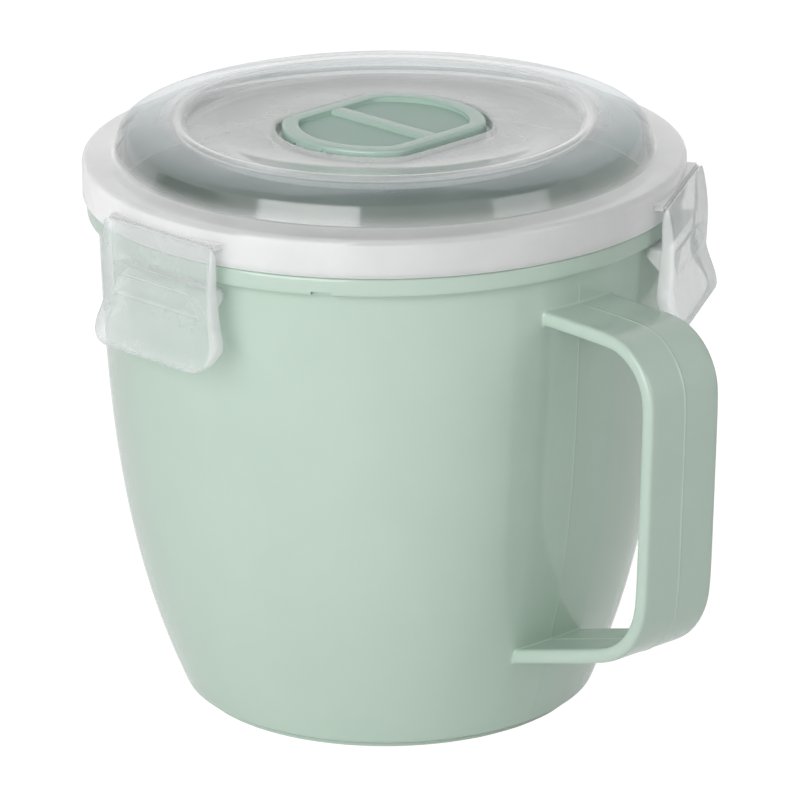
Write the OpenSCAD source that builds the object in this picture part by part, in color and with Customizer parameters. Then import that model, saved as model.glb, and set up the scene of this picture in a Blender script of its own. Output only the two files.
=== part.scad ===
// Lidded soup mug: one-piece mug with a strap handle, a clear clip-on lid with a seal,
// three hinged clips and a flip-up steam vent.
// Millimetres. The origin is the centre of the base, +Z is up and the handle points along +X.

/* [Mug] */
// Height of the sealing lip above the table
mug_h = 110; // [100:1:130]
// Outer radius of the wall just under the rim band
wall_r = 59.5; // [56:0.5:66]
// Straight lean of the wall over its full height
wall_draft = 2.1; // [1:0.1:3]
// Extra tuck of the wall towards the base
wall_tuck = 15; // [10:0.5:17]
// How late the tuck starts: a higher power keeps the upper wall straighter
tuck_power = 3.15; // [2.5:0.05:4]
// Thickness of the wall
wall_t = 2; // [1.6:0.1:2.6]
// Thickness of the floor
floor_t = 2.5; // [2:0.1:4]
// Height of the flat foot under the wall
foot_h = 0.7; // [0.4:0.1:1.5]
// How far the foot stands inside the wall's lower end
foot_step = 1.4; // [0.8:0.1:3]
// Rounding inside, between wall and floor
inner_round = 6; // [3:0.5:9]

/* [Rim] */
// How far the rim band stands out of the wall
band_out = 2.2; // [1.8:0.1:3]
// Height of the rim band
band_h = 3.9; // [3:0.1:6]
// How far the sealing lip stands inside the rim band
lip_step = 1.3; // [0.8:0.1:1.6]
// Height of the sealing lip above the rim band
lip_h = 1.6; // [1:0.1:2.5]
// Rounding of the rim's edges
rim_round = 0.6; // [0.3:0.1:0.8]
// Width of the moulding notch in the band's lower edge
notch_w = 4.2; // [2:0.1:8]
// Height of the moulding notch
notch_h = 0.9; // [0.4:0.1:1.5]
// Place of the moulding notch round the rim, from the handle
notch_turn = -53; // [-70:1:-40]

/* [Handle] */
// Height of the handle's upper face
handle_z = 97.5; // [92:0.5:99]
// Distance from the mug's axis to the handle's outer face
handle_r = 90.2; // [86:0.2:98]
// Width of the strap
strap_w = 19; // [14:0.5:24]
// Thickness of the strap
strap_t = 3; // [2.6:0.1:4]
// Rounding of the strap's edges
strap_round = 1.2; // [0.6:0.1:1.2]
// Outer radius of the handle's upper corner
handle_top_round = 13.5; // [9:0.5:16]
// Outer radius of the handle's lower corner
handle_low_round = 18; // [8:0.5:20]
// Straight length of the grip
grip_l = 40.2; // [34:0.1:46]
// Lean of the grip towards the mug, in degrees
grip_lean = 2.5; // [0:0.1:5]
// Rise of the lower arm away from the mug, in degrees
low_arm_rise = 16.5; // [8:0.5:22]

/* [Lid] */
// Thickness of the lid's top
lid_t = 1.3; // [1:0.1:1.8]
// Thickness of the skirt
skirt_t = 1.3; // [1:0.1:1.8]
// Room between the mug's lip and the skirt
skirt_room = 0.8; // [0.4:0.1:1.5]
// Room between the rim band and the skirt's lower edge
skirt_gap = 0.3; // [0.2:0.1:1]
// Height of the seal, from the lip to the flange
seal_h = 5.1; // [4:0.1:7]
// Room between the mug's lip and the seal
seal_gap = 0.1; // [0.05:0.05:0.4]
// Fit of the seal between skirt and plug ring
seal_fit = 0.05; // [0.02:0.01:0.1]
// Depth of the groove in the seal's lower face
seal_groove = 1; // [0.4:0.1:2]
// Room between the mug's inner wall and the lid's plug ring
plug_room = 1; // [0.5:0.1:2]
// Thickness of the plug ring
plug_t = 1.3; // [1:0.1:1.8]
// Depth that the plug ring reaches into the mug
plug_depth = 2.5; // [1.5:0.1:4]
// Rounding of the flange's outer edge
flange_round = 1.2; // [0.6:0.1:1.2]
// Rise of the flange towards the dome
flange_rise = 1; // [0.4:0.1:2]
// How far the dome stands inside the plug ring
dome_step = 0.8; // [0.5:0.1:1.2]
// Height of the dome's steep wall
dome_h = 5; // [4:0.1:8]
// Run of the dome's steep wall, with its rounded shoulder
dome_run = 3; // [2.5:0.1:4.5]
// Rise of the dome's flat top, from the shoulder to the bead's crest
crest_rise = 1.8; // [1.4:0.1:2.4]
// Distance from the dome's foot to the bead's crest
crest_in = 11.8; // [10:0.1:16]
// Width of the bead inside its crest
bead_w = 3.3; // [2.8:0.1:4.5]
// Depth of the middle panel below the bead's crest
panel_drop = 2.4; // [2:0.1:3]
// Run of the panel's rising edge
panel_run = 0.6; // [0.3:0.1:1]
// Rounding at the dome's foot and under its corners
dome_foot = 0.4; // [0.2:0.1:0.6]

/* [Clips] */
// Turn of the lid on the mug: the place of the first clip, from the handle
lid_turn = -86.5; // [-88:0.5:-82]
// Number of degrees between two clips
clip_step = 120; // [118:1:122]
// Width of a clip at its hinge
clip_w = 32; // [24:0.5:36]
// Extra width of the pull tab on each side
tab_extra = 1.4; // [0:0.1:2.5]
// Height of a clip, from the hinge to the tab's end
clip_h = 26.8; // [26:0.2:32]
// Height over which the tab flares out
tab_h = 9; // [8:0.2:12]
// Distance that the shoulder stands out of the hinge line
shoulder_out = 3.3; // [2.8:0.1:4.5]
// Distance that the tab flares past the shoulder
tab_flare = 2; // [1:0.1:4]
// Thickness of the pull tab
tab_t = 1.7; // [1.2:0.1:2.2]
// Rounding of the tab's lower corners
tab_round = 6.6; // [2:0.2:8]
// Distance from the flange's flat underside down to the hinge line
hinge_drop = 1.8; // [1.4:0.1:2.6]
// Distance from the skirt to the hinge line
hinge_out = 0.2; // [0.15:0.05:0.5]
// Thickness of the living hinge
web_t = 0.5; // [0.3:0.05:0.8]
// Length of the living hinge's strip outside its axis
web_out = 0.5; // [0.4:0.05:0.8]
// Length of the living hinge's strip inside its axis
web_in = 0.1; // [0.05:0.05:0.15]
// Distance from the hinge axis down to the strip's upper face
web_drop = 0.1; // [0.05:0.05:0.3]
// How much shorter the strip is than the clip, at each end
web_end = 1; // [0.5:0.1:2]
// How much shorter the hinge's shelf is than the clip, at each end
shelf_end = 0.5; // [0.2:0.1:1]
// Height of the hinge's shelf
shelf_h = 1.1; // [1:0.1:1.8]
// Distance from the hinge axis to a clip's inner face
clip_inset = 0.9; // [0.8:0.1:1.2]
// Height of a clip's rounded upper edge
brow_h = 1.5; // [1:0.1:2]
// Height of a clip's sloping shoulder
slope_h = 6; // [5:0.2:7]
// How far the slope's lower end stands inside the shoulder
slope_in = 0.8; // [0.4:0.1:1]
// How far the waist stands inside the shoulder
waist_in = 0.6; // [0.2:0.1:0.9]
// Room between the hook's tip and the mug's wall
hook_room = 0.7; // [0.4:0.1:1]
// Room between the hook's upper face and the rim band
hook_gap = 0.3; // [0.2:0.05:0.5]
// Slope of the hook's upper face, as drop per unit of length
hook_slope = 0.12; // [0.08:0.01:0.2]
// Height of the hook at the clip's wall
hook_h = 8; // [6:0.2:9]
// Thickness of the end ribs of a clip
rib_t = 1.4; // [1:0.1:2]
// Distance from the hinge axis down to the end ribs
rib_drop = 2; // [1.8:0.1:6]
// How far the end ribs reach inside the lid's radius
rib_reach = 0.8; // [0.4:0.1:1.2]
// Width of the pocket in a clip's outer face
pocket_w = 20.5; // [12:0.5:24]
// Height of the pocket
pocket_h = 4.6; // [3:0.1:6]
// Depth of the pocket
pocket_d = 2.4; // [1:0.1:2.6]
// Distance from the hook's upper face down to the pocket
pocket_drop = 1.6; // [1:0.1:2]

/* [Vent] */
// Radius of the vent well's round ends
well_r = 22.2; // [19:0.2:25]
// Half width of the vent well between its flat sides
well_half = 18.3; // [15:0.1:18.4]
// Depth of the vent well
well_d = 2.4; // [2.2:0.1:3.2]
// Thickness of the well's floor and wall
well_t = 1.2; // [0.9:0.1:1.8]
// Room between the well and the vent flap
flap_room = 0.5; // [0.4:0.05:0.8]
// Room between the well's floor and the vent flap
flap_lift = 0.3; // [0.2:0.05:0.5]
// Thickness of the flap's pocket floors
flap_t = 1.7; // [0.8:0.1:1.8]
// Height of the flap's rim above the panel
flap_rim_up = 0.7; // [0.5:0.1:1.2]
// Width of the flap's rim
flap_rim_w = 3.4; // [2.4:0.1:4.5]
// Width of the bar across the flap
bar_w = 3.6; // [1.6:0.1:4]
// Height of the bar above the pocket floors
bar_h = 0.8; // [0.5:0.1:1]
// Radius of the flap's hinge barrel
barrel_r = 1.1; // [1:0.05:1.2]
// Distance from the flap's round end to the hinge barrel
barrel_in = 0.2; // [0.1:0.1:0.6]
// Length of the arm from the hinge axis into the flap
barrel_arm = 2.5; // [2.2:0.1:3]
// Half length of the hinge barrel
barrel_half = 3.4; // [2.6:0.1:4]
// Radius of the hinge pins on the barrel's ends
vent_pin_r = 0.7; // [0.5:0.05:0.8]
// Length of each hinge pin
vent_pin_l = 1.2; // [0.8:0.1:1.6]
// Radial running clearance of the hinge pins
vent_pin_fit = 0.05; // [0.03:0.01:0.1]
// Angle that the flap opens to, in degrees
vent_open = 65; // [50:1:70]
// Room between the flap's end and the panel when the flap stands open
flap_cut = 0.3; // [0.2:0.05:0.5]
// Width of each hinge lug
lug_w = 1.8; // [1.4:0.1:2.4]
// How much stouter a lug is than the barrel
lug_extra = 0.1; // [0.05:0.05:0.2]
// Room between the lugs and the flap
lug_room = 0.3; // [0.2:0.05:0.5]
// Side play between barrel and lugs
lug_play = 0.2; // [0.1:0.05:0.4]
// Outer radius of the steam tube
tube_r = 5; // [4.6:0.1:7]
// Wall of the steam tube
tube_t = 1.2; // [0.8:0.1:1.6]
// Length of the steam tube below the well
tube_l = 10; // [5:0.5:14]
// Radial room between the steam tube and the stopper
stopper_room = 0.4; // [0.35:0.05:0.6]
// Depth of the stopper below the flap
stopper_d = 3.4; // [2.4:0.1:4]
// Taper of the stopper over its depth
stopper_taper = 0.35; // [0.3:0.05:0.6]
// Radius of the stub that carries the stopper
stub_r = 1.8; // [1.2:0.1:2]
// Length of the stub
stub_l = 2.2; // [1:0.1:2.4]
// Gap between the stopper and the flap
stopper_gap = 0.05; // [0.02:0.01:0.1]
// Fit of the stopper on the stub
stopper_fit = 0.02; // [0.01:0.01:0.05]

/* [Hidden] */
$fn = 96;
wall_steps = 22;
arc_steps = 6;
// How far the handle's straight runs reach into its bends, and how much slimmer they are
seam_overlap = 0.4;
seam_inset = 0.03;
strap_edge = min(strap_round, strap_t / 2 - 2 * seam_inset);
// How far the handle's arms run into the wall before the mug's inside trims them
root_reach = 5;
// How far a cutting shape reaches past what it cuts, and how far joined shapes lap
cut = 1;
lap = 1;

// Mug heights and radii
lip_z = mug_h;
band_top = lip_z - lip_h;
band_z = band_top - band_h;
band_r = wall_r + band_out;
lip_r = band_r - lip_step;
bore_r = wall_r - wall_t;
foot_r = wall_at(0) - foot_step;
floor_z = foot_h + floor_t;
wall_z = foot_h + foot_step;

// Lid heights and radii, built up from the mug's lip
skirt_in = lip_r + skirt_room;
lid_r = skirt_in + skirt_t;
skirt_z = band_top + skirt_gap;
seal_z = lip_z + seal_gap;
flange_under = seal_z + seal_h;
flange_z = flange_under + lid_t;
plug_r = bore_r - plug_room;
plug_in = plug_r - plug_t;
plug_z = lip_z - plug_depth;
dome_r = plug_r - dome_step;
dome_z = flange_z + flange_rise;
shoulder_r = dome_r - dome_run;
shoulder_z = dome_z + dome_h;
crest_r = dome_r - crest_in;
crest_z = shoulder_z + crest_rise;
panel_r = crest_r - bead_w;
panel_z = crest_z - panel_drop;

// Clip lines: distance from the axis along the clip's middle, and height
hinge_d = lid_r + hinge_out;
hinge_z = flange_under - hinge_drop;
shelf_d = hinge_d - web_in;
web_top = hinge_z - web_drop;
clip_d = hinge_d + web_out;
tab_z = hinge_z - clip_h;
flare_z = tab_z + tab_h;
hook_tip_r = wall_r + hook_room;
hook_z = band_z - hook_gap;
clip_in = hinge_d + clip_inset;
clip_out = hinge_d + shoulder_out;
waist_d = clip_out - waist_in;
tab_d = clip_out + tab_flare;
hook_low = hook_z - hook_h;
pocket_top = hook_z - pocket_drop;
pocket_z = pocket_top - pocket_h;

// Vent heights and places along its long side
well_z = panel_z - well_d;
flap_z = well_z + flap_lift;
flap_r = well_r - flap_room;
flap_half = well_half - flap_room;
pocket_floor = flap_z + flap_t;
flap_top = panel_z + flap_rim_up;
vent_axis_u = -(flap_r - barrel_r - barrel_in);
vent_axis_z = flap_z + barrel_r;
lug_r = barrel_r + lug_extra;
lug_v = barrel_half + lug_play;
tube_in = tube_r - tube_t;
tube_z = well_z - well_t - tube_l;
stopper_r = tube_in - stopper_room;
vent_turn = lid_turn + 180;

green = "#BFD2C6";
clear = "#E4E8E6";
frost = "#EDF1EF";
white = "#F2F2F0";
leaf = "#A9C4B7";
grey = "#D5DAD7";

// Outer radius of the mug's wall at a height
function wall_at(z) = let (u = 1 - z / mug_h) wall_r - wall_draft * u - wall_tuck * pow(u, tuck_power);

// Points of an arc in a profile, from angle a to angle b
function arc(c, r, a, b) = [
  for (i = [0 : arc_steps]) let (t = a + (b - a) * i / arc_steps) c + r * [cos(t), sin(t)]
];

// Outline with both flat sides and round ends, as the vent has
module double_d(r, half) {
  intersection() {
    circle(r = r);
    square([2 * r, 2 * half], center = true);
  }
}

// Stands a profile of distance and height up and gives it a width along the clip's hinge
module along_hinge(width) {
  rotate([90, 0, 0])
    linear_extrude(height = width, center = true) children();
}

// Mug: turned wall with its rim, and the strap handle, moulded in one
module mug_body() {
  color(green) difference() {
    union() {
      mug_wall();
      difference() {
        handle();
        mug_inside();
      }
    }
    rotate([0, 0, notch_turn])
      translate([band_r, 0, band_z]) cube([2 * rim_round, notch_w, 2 * notch_h], center = true);
  }
}

function inside_wall() = [
  for (i = [0 : wall_steps])
    let (z = floor_z + inner_round + (lip_z - rim_round - floor_z - inner_round) * i / wall_steps)
      [min(wall_at(z), wall_r) - wall_t, z]
];

function inside_corner() = let (r = wall_at(floor_z + inner_round) - wall_t - inner_round)
  arc([r, floor_z + inner_round], inner_round, -90, 0);

function mug_outside() = concat(
  [[0, 0], [foot_r, 0], [foot_r, foot_h]],
  [for (i = [0 : wall_steps]) let (z = wall_z + (band_z - wall_z) * i / wall_steps) [wall_at(z), z]],
  arc([band_r - rim_round, band_z + rim_round], rim_round, -90, 0),
  arc([band_r - rim_round, band_top - rim_round], rim_round, 0, 90),
  [[lip_r, band_top]],
  arc([lip_r - rim_round, lip_z - rim_round], rim_round, 0, 90),
  [[bore_r + rim_round, lip_z]]
);

module mug_wall() {
  inside = concat([[0, floor_z]], inside_corner(), inside_wall());
  turned_back = [for (i = [len(inside) - 1 : -1 : 0]) inside[i]];
  rotate_extrude() polygon(concat(mug_outside(), turned_back));
}

// The room inside the wall, which keeps the handle's roots out of the mug
module mug_inside() {
  inside = concat([[0, floor_z]], inside_corner(), inside_wall(), [[0, lip_z - rim_round]]);
  rotate_extrude() polygon([for (p = inside) [p[0] + (p[0] > 0 ? wall_t / 2 : 0), p[1]]]);
}

// Strap section: x is across the thickness, y across the width
module strap_section(inset) {
  x = strap_t / 2 - strap_edge - inset;
  y = strap_w / 2 - strap_edge - inset;
  polygon(concat(
    arc([x, y], strap_edge, 0, 90),
    arc([-x, y], strap_edge, 90, 180),
    arc([-x, -y], strap_edge, 180, 270),
    arc([x, -y], strap_edge, 270, 360)
  ));
}

// Straight stretch of strap from a point, running at an angle in the handle's plane.
// Its ends reach a little way into the bends, and it is a hair slimmer so that they hold it.
module strap_run(p, angle, length) {
  translate([p[0], 0, p[1]])
    rotate([0, 90 - angle, 0])
      translate([0, 0, -seam_overlap])
        linear_extrude(height = length + 2 * seam_overlap) strap_section(seam_inset);
}

// Curved stretch of strap about a centre, from one angle down to another
module strap_bend(c, r, from, to) {
  translate([c[0], 0, c[1]])
    rotate([90, 0, 0])
      rotate([0, 0, to])
        rotate_extrude(angle = from - to) translate([r, 0]) strap_section(0);
}

module handle() {
  half = strap_t / 2;
  top_r = handle_top_round - half;
  low_r = handle_low_round - half;
  grip_a = -90 - grip_lean;
  low_a = -180 + low_arm_rise;
  grip_dir = [cos(grip_a), sin(grip_a)];
  low_dir = [cos(low_a), sin(low_a)];
  top_c = [handle_r - handle_top_round, handle_z - half - top_r];
  grip_start = top_c + top_r * [cos(grip_lean), -sin(grip_lean)];
  grip_end = grip_start + grip_l * grip_dir;
  low_c = grip_end - low_r * [cos(grip_lean), -sin(grip_lean)];
  low_start = low_c + low_r * [cos(low_a + 90), sin(low_a + 90)];
  root_r = wall_r - root_reach;
  low_root = wall_at(low_start[1] - (low_start[0] - wall_r) * tan(low_arm_rise)) - root_reach;
  strap_run([root_r, handle_z - half], 0, top_c[0] - root_r);
  strap_bend(top_c, top_r, 90, -grip_lean);
  strap_run(grip_start, grip_a, grip_l);
  strap_bend(low_c, low_r, -grip_lean, low_a + 90);
  strap_run(low_start, low_a, (low_start[0] - low_root) / cos(low_arm_rise));
}

// Lid: flange, skirt, dome with its bead, sunk panel, vent well and steam tube in one moulding
module lid_shell() {
  color(clear) difference() {
    union() {
      rotate_extrude() polygon(lid_profile());
      rotate([0, 0, vent_turn]) vent_well_body();
      for (i = [0 : 2])
        rotate([0, 0, lid_turn + i * clip_step]) hinge_shelf();
    }
    rotate([0, 0, vent_turn]) vent_well_cut();
  }
}

function lid_profile() = concat(
  [[0, panel_z], [panel_r, panel_z], [panel_r + panel_run, panel_z + panel_drop / 2]],
  arc([crest_r, crest_z - bead_w / 2], bead_w / 2, 150, 60),
  [[crest_r + bead_w, shoulder_z + crest_rise / 2], [shoulder_r, shoulder_z]],
  arc([shoulder_r, shoulder_z - dome_run / 2], dome_run / 2, 75, 20),
  [[dome_r, dome_z], [dome_r + dome_foot, dome_z - dome_foot / 4]],
  arc([lid_r - flange_round, flange_z - flange_round], flange_round, 80, 0),
  [[lid_r, skirt_z], [skirt_in, skirt_z], [skirt_in, flange_under], [plug_r, flange_under]],
  [[plug_r, plug_z], [plug_in, plug_z], [plug_in, flange_z - dome_foot / 2]],
  [[dome_r - lid_t, dome_z - dome_foot], [shoulder_r + dome_foot / 2, shoulder_z - 1.5 * lid_t]],
  [[shoulder_r - dome_foot, shoulder_z - lid_t]],
  [[crest_r + bead_w, shoulder_z + crest_rise / 2 - lid_t], [crest_r, crest_z - lid_t]],
  [[panel_r + lid_t, panel_z - lid_t / 2], [panel_r + lid_t - dome_foot, panel_z - lid_t]],
  [[0, panel_z - lid_t]]
);

// Straight shelf on the skirt that gives a clip's hinge a straight line
module hinge_shelf() {
  shelf_half = clip_w / 2 - shelf_end;
  start = sqrt(pow(skirt_in, 2) - pow(shelf_half, 2));
  low = hinge_z + web_drop - shelf_h;
  difference() {
    translate([start, -shelf_half, low]) cube([shelf_d - start, 2 * shelf_half, shelf_h]);
    translate([0, 0, low - cut]) cylinder(r = skirt_in + skirt_t / 2, h = shelf_h + 2 * cut);
  }
}

module vent_well_body() {
  translate([0, 0, well_z - well_t])
    linear_extrude(height = panel_z - lid_t / 2 - well_z + well_t)
      double_d(well_r + well_t, well_half + well_t);
  translate([0, 0, tube_z]) cylinder(r = tube_r, h = tube_l + well_t / 2);
}

module vent_well_cut() {
  difference() {
    translate([0, 0, well_z])
      linear_extrude(height = well_d + cut) double_d(well_r, well_half);
    vent_lugs();
  }
  translate([0, 0, tube_z - cut]) cylinder(r = tube_in, h = tube_l + well_t + 2 * cut);
}

// Two lugs in the well, each with a hole for one of the flap's hinge pins
module vent_lugs() {
  hole_r = vent_pin_r + vent_pin_fit;
  for (side = [-1, 1])
    translate([vent_axis_u, side * (lug_v + lug_w / 2), 0])
      difference() {
        union() {
          translate([0, 0, vent_axis_z])
            rotate([90, 0, 0]) cylinder(r = lug_r, h = lug_w, center = true);
          translate([-lug_r - well_t, -lug_w / 2, well_z - well_t / 2])
            cube([2 * lug_r + well_t, lug_w, vent_axis_z - well_z + well_t / 2]);
        }
        translate([0, 0, vent_axis_z])
          rotate([90, 0, 0]) cylinder(r = hole_r, h = lug_w + 2 * cut, center = true);
      }
}

// Soft ring under the flange, with a groove that gives it two sealing edges
module lid_seal() {
  in_r = plug_r + seal_fit;
  out_r = skirt_in - seal_fit;
  mid_r = (in_r + out_r) / 2;
  top = flange_under - seal_fit;
  color(white) rotate_extrude() polygon([
    [in_r, seal_z], [mid_r - seal_groove, seal_z], [mid_r, seal_z + seal_groove],
    [mid_r + seal_groove, seal_z], [out_r, seal_z], [out_r, top], [in_r, top]
  ]);
}

// Side profile of a clip's wall: shoulder, waist and flared tab
function clip_profile() = concat(
  [[clip_d, web_top], [hinge_d + shoulder_out / 2, hinge_z - brow_h]],
  [[clip_out - slope_in, hinge_z - slope_h], [clip_out, hook_z]],
  [[waist_d, flare_z], [clip_out + tab_flare / 3, tab_z + tab_h / 2]],
  arc([tab_d - tab_t / 2, tab_z + tab_t / 2], tab_t / 2, 20, -160),
  [[clip_out + tab_flare / 3 - tab_t, tab_z + tab_h / 2], [waist_d - tab_t, flare_z]],
  [[clip_in, hook_low], [clip_in, hinge_z - slope_h], [clip_d, hinge_z - brow_h]]
);

// Hook under the rim band: its tip follows the round wall
module clip_hook() {
  root = clip_in + lap;
  reach = root - sqrt(pow(hook_tip_r, 2) - pow(clip_w / 2, 2)) + cut / 2;
  difference() {
    along_hinge(clip_w) polygon([
      [root, hook_z], [root - reach, hook_z - hook_slope * reach],
      [root - reach, hook_low + hook_h / 2], [root, hook_low]
    ]);
    translate([0, 0, hook_low - cut]) cylinder(r = hook_tip_r, h = hook_h + 2 * cut);
  }
}

// Ribs that close a clip's two ends, from under the hinge down into the tab
module clip_ribs() {
  out = clip_in + lap / 2;
  in = lid_r - rib_reach;
  top = hinge_z - rib_drop;
  low = tab_z + tab_h / 2;
  low_out = clip_out + tab_flare / 3 - tab_t / 2;
  for (side = [-1, 1])
    translate([0, side * (clip_w - rib_t) / 2, 0])
      along_hinge(rib_t) polygon([
        [low_out, low], [out, flare_z], [out, top], [in, top], [in, (low + flare_z) / 2]
      ]);
}

// Front outline of a clip, with its wider tab and round lower corners
module clip_outline() {
  tab_w = clip_w + 2 * tab_extra;
  low = tab_z + tab_round;
  translate([-clip_w / 2, flare_z]) square([clip_w, hinge_z - flare_z]);
  translate([-tab_w / 2, low]) square([tab_w, flare_z + lap - low]);
  translate([-tab_w / 2 + tab_round, tab_z]) square([tab_w - 2 * tab_round, tab_round + lap]);
  for (side = [-1, 1])
    translate([side * (tab_w / 2 - tab_round), low]) circle(r = tab_round);
}

module clip_pocket() {
  along_hinge(pocket_w) polygon([
    [clip_out + cut, pocket_top], [clip_out - pocket_d, pocket_top],
    [clip_out - pocket_d, pocket_z + pocket_h / 2], [clip_out - pocket_d / 3, pocket_z],
    [clip_out + cut, pocket_z]
  ]);
}

// One clip, turned to its place round the lid
module clip(turn) {
  color(frost) rotate([0, 0, turn]) difference() {
    union() {
      intersection() {
        along_hinge(clip_w + 2 * tab_extra) polygon(clip_profile());
        rotate([90, 0, 90])
          linear_extrude(height = tab_d + cut) clip_outline();
      }
      clip_hook();
      clip_ribs();
    }
    clip_pocket();
  }
}

// Thin strip that hinges a clip to its shelf
module clip_hinge(turn) {
  half = clip_w / 2 - web_end;
  color(frost) rotate([0, 0, turn])
    translate([shelf_d, -half, web_top - web_t]) cube([clip_d - shelf_d, 2 * half, web_t]);
}

module clip_front() { clip(lid_turn); }
module clip_side() { clip(lid_turn + clip_step); }
module clip_back() { clip(lid_turn + 2 * clip_step); }
module clip_hinge_front() { clip_hinge(lid_turn); }
module clip_hinge_side() { clip_hinge(lid_turn + clip_step); }
module clip_hinge_back() { clip_hinge(lid_turn + 2 * clip_step); }

// Flap over the vent: rim, bar between two shallow pockets, hinge barrel and stopper stub
module vent_flap() {
  color(leaf) rotate([0, 0, vent_turn]) {
    difference() {
      translate([0, 0, flap_z]) linear_extrude(height = flap_top - flap_z) double_d(flap_r, flap_half);
      difference() {
        translate([0, 0, pocket_floor])
          linear_extrude(height = flap_top) double_d(flap_r - flap_rim_w, flap_half - flap_rim_w);
        translate([-bar_w / 2, -flap_half, pocket_floor - lap])
          cube([bar_w, 2 * flap_half, bar_h + lap]);
      }
      vent_end_cut();
    }
    vent_barrel();
    translate([0, 0, flap_z - stub_l]) cylinder(r = stub_r, h = stub_l + flap_t / 2);
  }
}

// Distance from the mug's axis to the flap's hinge end at a height: the end leans back
// so that it stands upright, just clear of the panel's edge, when the flap is open
function flap_end(z) = vent_axis_u + flap_cut
  + (panel_z - vent_axis_z) / sin(vent_open) - (z - vent_axis_z) / tan(vent_open);

// Room at the flap's hinge end for the barrel, the lugs and the flap's swing
module vent_end_cut() {
  low = flap_z - cut;
  top = flap_top + cut;
  slot_end = lug_v + lug_w + lug_room;
  slot_w = slot_end - barrel_half;
  slot_u = vent_axis_u + lug_r + lug_room;
  along_hinge(2 * flap_r) polygon([
    [flap_end(low), low], [flap_end(top), top], [-2 * flap_r, top], [-2 * flap_r, low]
  ]);
  for (start = [-slot_end, barrel_half])
    translate([slot_u - flap_r, start, low]) cube([flap_r, slot_w, top - low]);
}

module vent_barrel() {
  translate([vent_axis_u, 0, vent_axis_z]) {
    rotate([90, 0, 0]) cylinder(r = barrel_r, h = 2 * barrel_half, center = true);
    rotate([90, 0, 0]) cylinder(r = vent_pin_r, h = 2 * (barrel_half + vent_pin_l), center = true);
  }
  translate([vent_axis_u, -barrel_half, flap_z]) cube([barrel_arm, 2 * barrel_half, 2 * barrel_r]);
}

// Soft stopper on the flap's stub, which closes the steam tube
module vent_stopper() {
  color(grey) rotate([0, 0, vent_turn]) difference() {
    translate([0, 0, flap_z - stopper_d])
      cylinder(r1 = stopper_r - stopper_taper, r2 = stopper_r, h = stopper_d - stopper_gap);
    translate([0, 0, flap_z - stub_l - stopper_fit]) cylinder(r = stub_r + stopper_fit, h = stub_l + cut);
  }
}

mug_body();
lid_shell();
lid_seal();
clip_front();
clip_side();
clip_back();
clip_hinge_front();
clip_hinge_side();
clip_hinge_back();
vent_flap();
vent_stopper();
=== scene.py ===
import math

import bmesh
import bpy
from mathutils import Matrix, Vector


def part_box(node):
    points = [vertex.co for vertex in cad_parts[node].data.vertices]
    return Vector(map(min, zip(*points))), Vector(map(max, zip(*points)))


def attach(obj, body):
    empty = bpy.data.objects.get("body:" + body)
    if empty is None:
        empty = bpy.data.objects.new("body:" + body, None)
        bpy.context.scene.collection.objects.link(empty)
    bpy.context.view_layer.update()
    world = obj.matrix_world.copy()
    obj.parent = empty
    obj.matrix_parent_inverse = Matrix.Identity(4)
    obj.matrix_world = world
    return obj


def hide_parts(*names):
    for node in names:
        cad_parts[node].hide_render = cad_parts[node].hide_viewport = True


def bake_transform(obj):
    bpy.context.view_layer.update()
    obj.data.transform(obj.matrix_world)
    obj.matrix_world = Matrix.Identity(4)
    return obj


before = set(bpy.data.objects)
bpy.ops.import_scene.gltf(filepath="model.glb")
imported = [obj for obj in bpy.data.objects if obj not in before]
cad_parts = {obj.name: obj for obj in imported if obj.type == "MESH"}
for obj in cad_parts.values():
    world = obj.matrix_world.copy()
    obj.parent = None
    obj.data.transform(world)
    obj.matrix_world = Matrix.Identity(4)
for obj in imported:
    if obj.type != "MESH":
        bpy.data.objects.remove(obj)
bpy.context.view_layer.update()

MM = 0.001
TAU = math.tau
TOUCH = 0.001 * MM

# Mug: one moulding with its strap handle
MUG_LOW, MUG_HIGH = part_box("mug_body")
LIP_Z = MUG_HIGH.z
BAND_R = -MUG_LOW.x
HANDLE_R = MUG_HIGH.x
WALL_R = BAND_R - 2.2 * MM
WALL_DRAFT = 2.1 * MM
WALL_TUCK = 15 * MM
TUCK_POWER = 3.15
WALL_T = 2 * MM
FOOT_R = 41 * MM
FOOT_H = 0.7 * MM
WALL_Z = 2.1 * MM
FLOOR_Z = 3.2 * MM
INNER_ROUND = 6 * MM
BAND_Z = LIP_Z - 5.5 * MM
BAND_TOP = LIP_Z - 1.6 * MM
LIP_R = BAND_R - 1.3 * MM
RIM_ROUND = 0.6 * MM
NOTCH_TURN = math.radians(-53)
NOTCH_W = 4.2 * MM
NOTCH_H = 0.9 * MM
WALL_STEPS = 64

# Handle, in the plane through the mug's axis
HANDLE_Z = 97.5 * MM
STRAP_W = 19 * MM
STRAP_T = 3 * MM
STRAP_START = 66 * MM
TOP_BEND = 12 * MM
LOW_BEND = 16.5 * MM
GRIP_L = 40.2 * MM
GRIP_LEAN = math.radians(2.5)
LOW_RISE = math.radians(16.5)
ROOT_FILLET = 0.7 * MM
PARTING = 0.16 * MM
PARTING_HALF = 0.22 * MM
GRIP_OUT = Vector((math.cos(GRIP_LEAN), 0, -math.sin(GRIP_LEAN)))
GRIP_DOWN = Vector((-math.sin(GRIP_LEAN), 0, -math.cos(GRIP_LEAN)))
LOW_OUT = Vector((math.sin(LOW_RISE), 0, -math.cos(LOW_RISE)))
LOW_IN = Vector((-math.cos(LOW_RISE), 0, -math.sin(LOW_RISE)))
TOP_CENTRE = Vector((HANDLE_R - STRAP_T / 2 - TOP_BEND, 0, HANDLE_Z - STRAP_T / 2 - TOP_BEND))
LOW_CENTRE = TOP_CENTRE + (TOP_BEND - LOW_BEND) * GRIP_OUT + GRIP_L * GRIP_DOWN
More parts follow.
